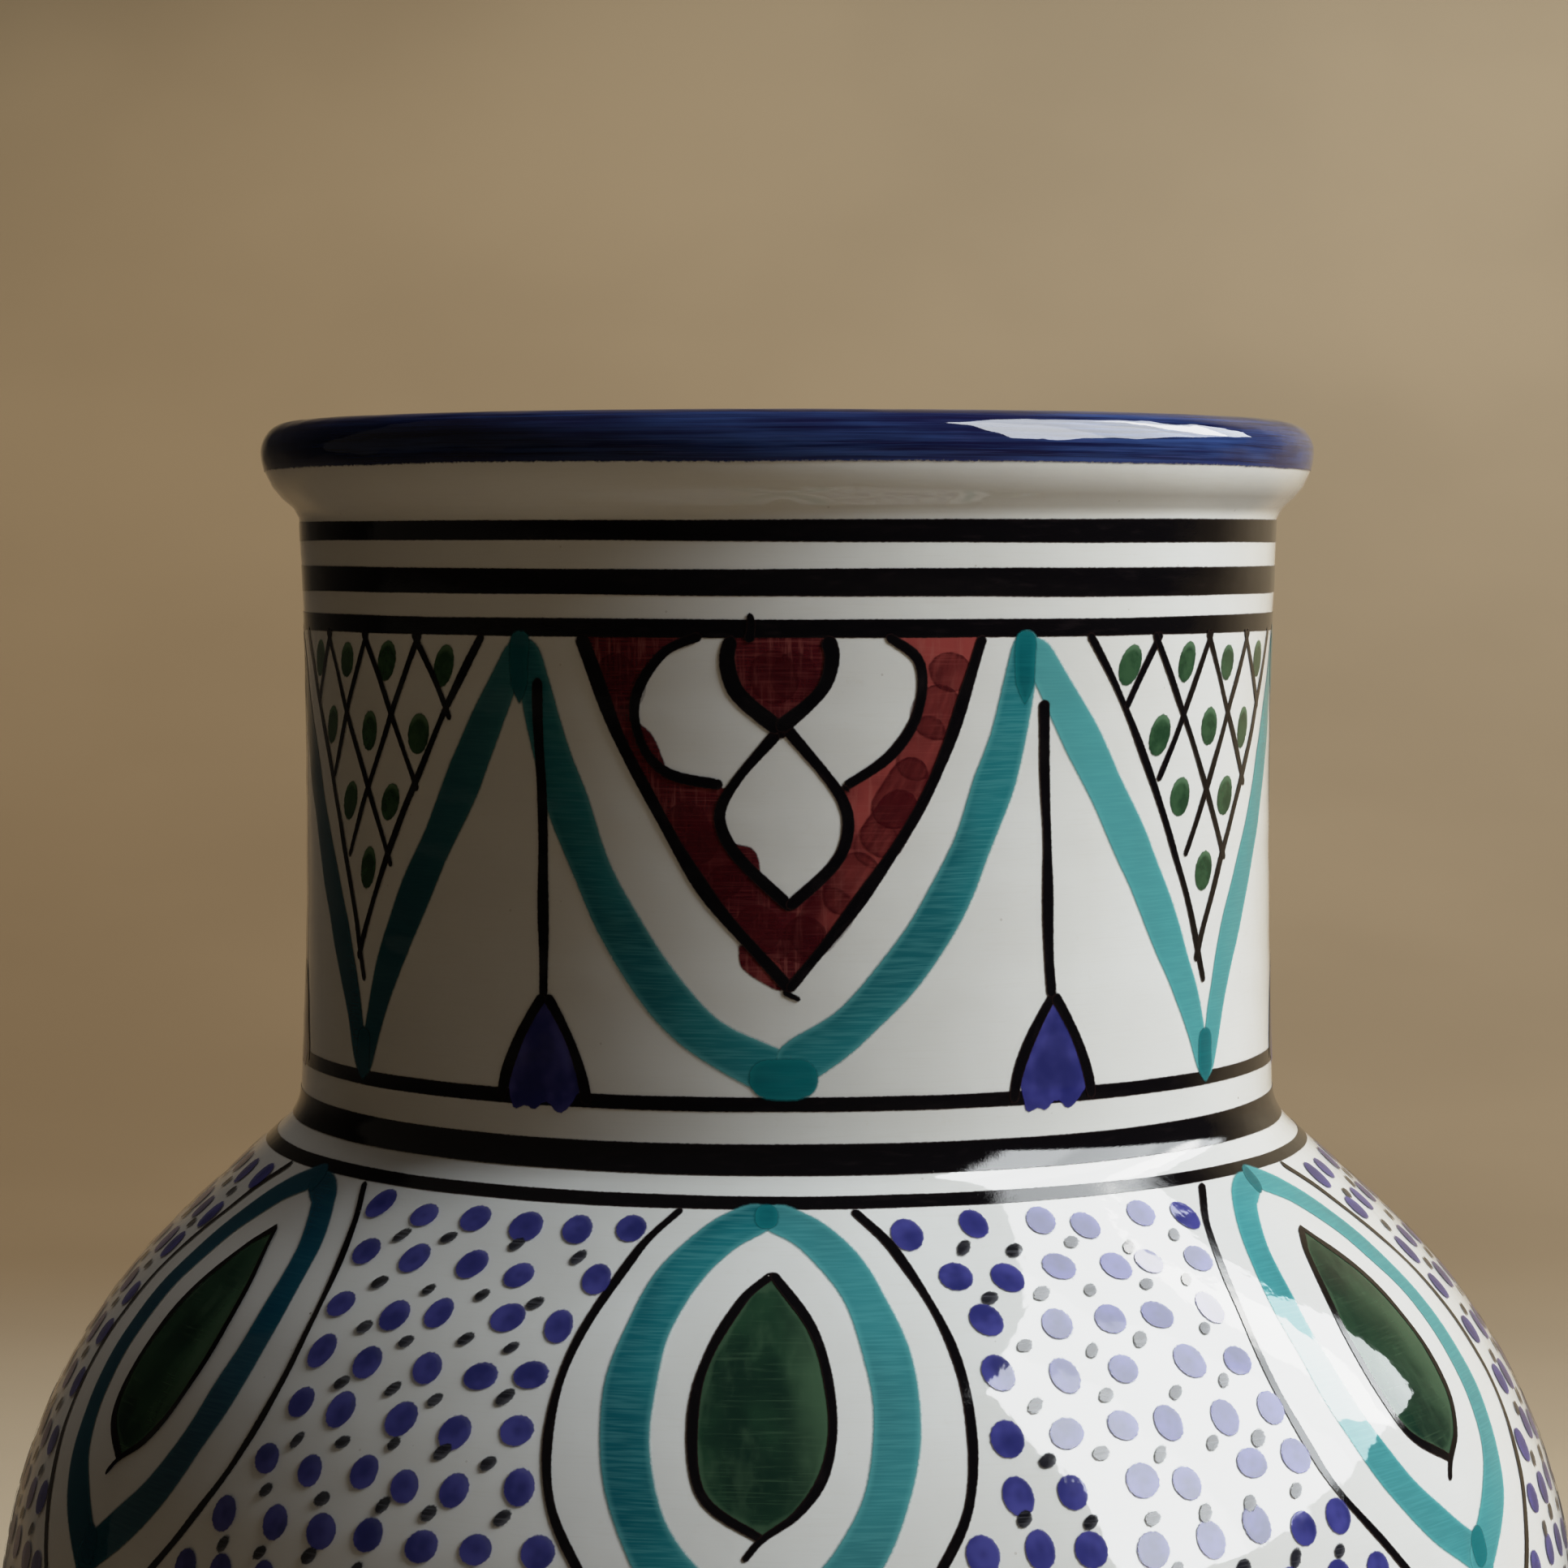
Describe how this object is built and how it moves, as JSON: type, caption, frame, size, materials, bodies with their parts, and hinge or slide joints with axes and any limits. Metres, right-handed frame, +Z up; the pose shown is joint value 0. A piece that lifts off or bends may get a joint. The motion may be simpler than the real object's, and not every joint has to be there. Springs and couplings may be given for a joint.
{
  "type": "painted pottery vase",
  "caption": "Hand-painted glazed pottery vase: wide collar neck with a rolled rim, round belly with almond-shaped motifs, and a low foot ring.",
  "frame": {"origin": "centre of the foot ring's resting face", "axes": "+Z up along the vase's axis; -Y faces the picture's viewer, +X to the viewer's right"},
  "size_m": [0.1744, 0.1744, 0.24],
  "materials": {
    "bare_clay": "unglazed fired earthenware, slightly sandy",
    "luting_slip": "fired clay slip",
    "white_glaze": "glossy warm white glaze with fine pinholes",
    "cobalt_glaze": "glossy streaky cobalt blue glaze",
    "black_paint": "black underglaze brush line under clear glaze",
    "turquoise_paint": "translucent turquoise brush stroke under clear glaze",
    "green_paint": "mottled dark green under clear glaze",
    "oxblood_paint": "dabbed oxblood red under clear glaze",
    "cobalt_paint": "cobalt blue brush dabs under clear glaze"
  },
  "bodies": {
    "root": {"foot_ring": "bare_clay", "lower_bowl": "bare_clay", "shoulder": "bare_clay", "neck": "bare_clay", "rim": "bare_clay", "foot_slip_seam": "luting_slip", "belly_slip_seam": "luting_slip", "neck_slip_seam": "luting_slip", "rim_slip_seam": "luting_slip", "outer_glaze": "white_glaze", "inner_glaze": "white_glaze", "rim_glaze": "cobalt_glaze", "collar_line_upper": "black_paint", "collar_band": "black_paint", "collar_line_lower": "black_paint", "neck_base_line": "black_paint", "neck_corner_band": "black_paint", "shoulder_line": "black_paint", "belly_line_upper": "black_paint", "belly_band": "black_paint", "belly_line_lower": "black_paint", "hem_line": "black_paint", "foot_band": "cobalt_glaze"}
  },
  "joints": []
}
